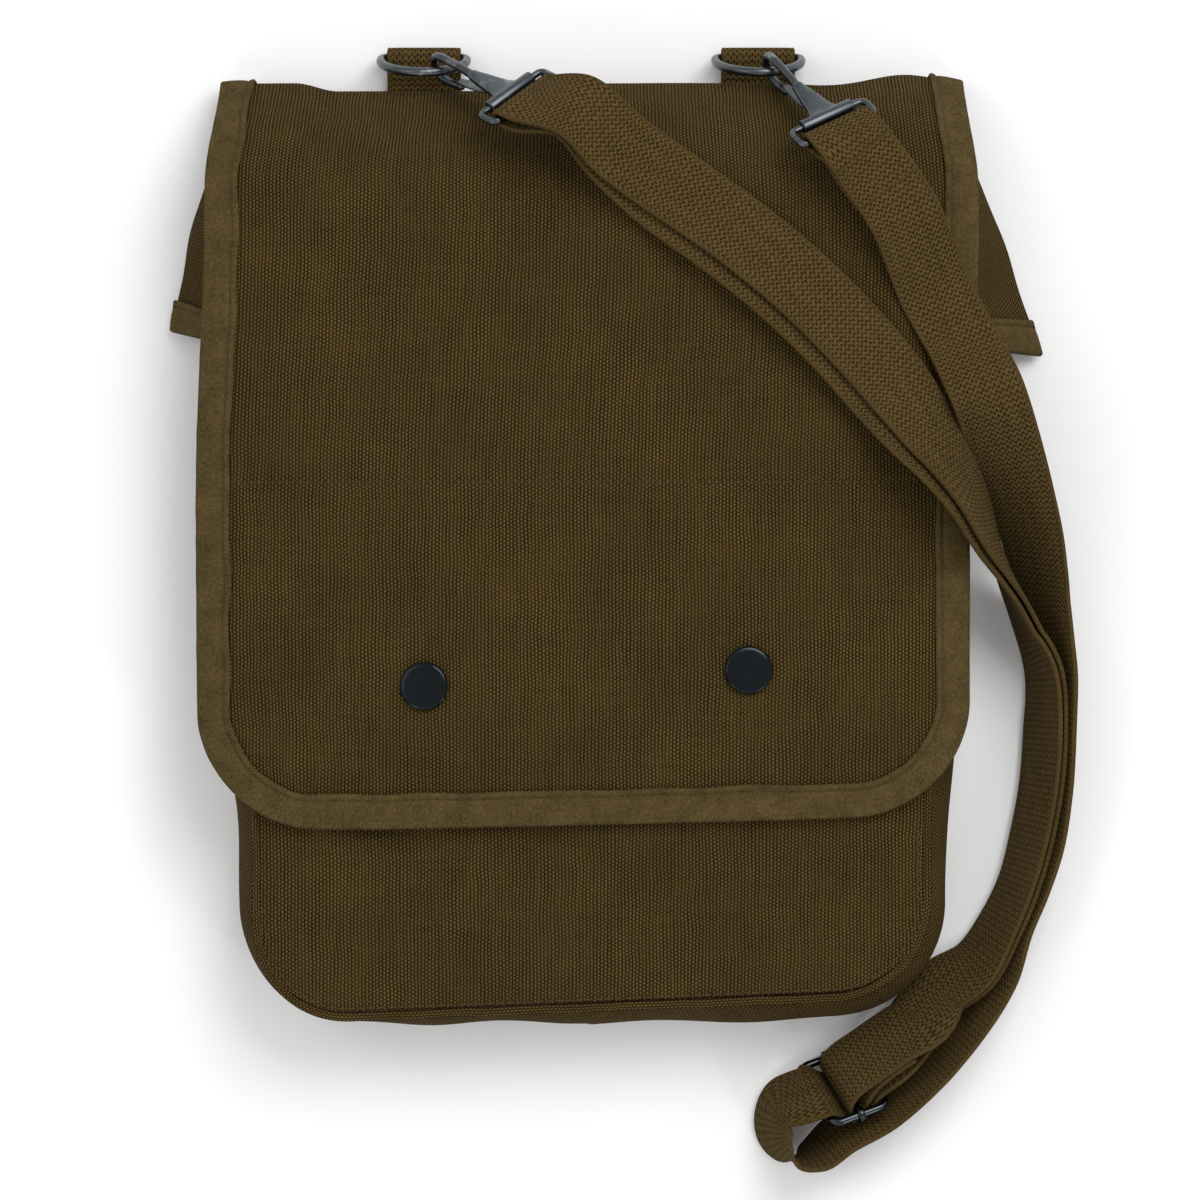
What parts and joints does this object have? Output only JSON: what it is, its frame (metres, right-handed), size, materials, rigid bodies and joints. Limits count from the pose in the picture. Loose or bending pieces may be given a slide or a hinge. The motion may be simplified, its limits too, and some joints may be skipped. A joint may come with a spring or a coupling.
{
  "type": "map case",
  "caption": "Shallow canvas map case with a bound snap-down flap, side ears, webbing tabs with rings, and an adjustable shoulder strap with snap hooks.",
  "frame": {"origin": "middle of the back panel's outer face, which is on the floor", "axes": "the case lies on its back: +X across the case to the right as seen, +Y towards its top edge, +Z out of its front"},
  "size_m": [0.3057, 0.3797, 0.0669],
  "materials": {
    "canvas": "plain-woven duck",
    "binding": "woven tape",
    "webbing": "cotton webbing",
    "metal": "blackened, worn bright"
  },
  "bodies": {
    "case": {"back_panel": "canvas", "side_strip": "canvas", "front_panel": "canvas", "flap": "canvas", "flap_binding": "binding", "ear_left": "canvas", "ear_right": "canvas", "ear_binding_left": "binding", "ear_binding_right": "binding", "stud_cap_left": "metal", "stud_cap_right": "metal", "stud_base_left": "metal", "stud_base_right": "metal", "tab_left": "webbing", "tab_right": "webbing", "d_ring_left": "metal", "d_ring_right": "metal", "hook_body_left": "metal", "hook_body_right": "metal", "hook_loop_left": "metal", "hook_loop_right": "metal", "adjuster_frame": "metal", "adjuster_bar": "metal", "strap": "webbing"},
    "tongue_left": {"hook_tongue_left": "metal"},
    "tongue_right": {"hook_tongue_right": "metal"}
  },
  "joints": [
    {"name": "tongue_left_hinge", "type": "hinge", "parent": "case", "child": "tongue_left", "pos_m": [-0.03295, 0.15409, 0.03779], "axis": [0.7096, 0.5656, -0.4203], "range_deg": [0, 11], "stiffness_Nm_per_rad": 0.02, "springref_deg": -5.16},
    {"name": "tongue_right_hinge", "type": "hinge", "parent": "case", "child": "tongue_right", "pos_m": [0.07356, 0.14822, 0.03956], "axis": [0.8634, 0.4134, -0.2891], "range_deg": [0, 11], "stiffness_Nm_per_rad": 0.02, "springref_deg": -5.16}
  ]
}
